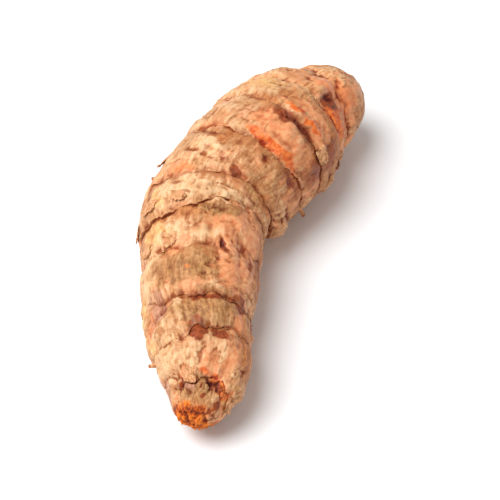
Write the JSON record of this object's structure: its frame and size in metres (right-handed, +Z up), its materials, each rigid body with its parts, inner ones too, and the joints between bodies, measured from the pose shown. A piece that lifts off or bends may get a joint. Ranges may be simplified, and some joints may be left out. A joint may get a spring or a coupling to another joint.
{
  "type": "turmeric root",
  "caption": "Whole raw turmeric finger: a bent, knobbly rhizome with torn leaf-scar rings, small buds and rootlet stubs, lying on its side.",
  "frame": {"origin": "centre of the bounding box in plan, at the height of the surface that the root lies on", "axes": "+Z up from the surface; +Y along the root from its narrow, snapped-off end towards its blunt end; +X towards the side that the blunt end bends to"},
  "size_m": [0.038, 0.0732, 0.0223],
  "materials": {
    "turmeric_skin": "matte, dry papery root skin"
  },
  "bodies": {
    "root": {"turmeric_root": "turmeric_skin"}
  },
  "joints": []
}
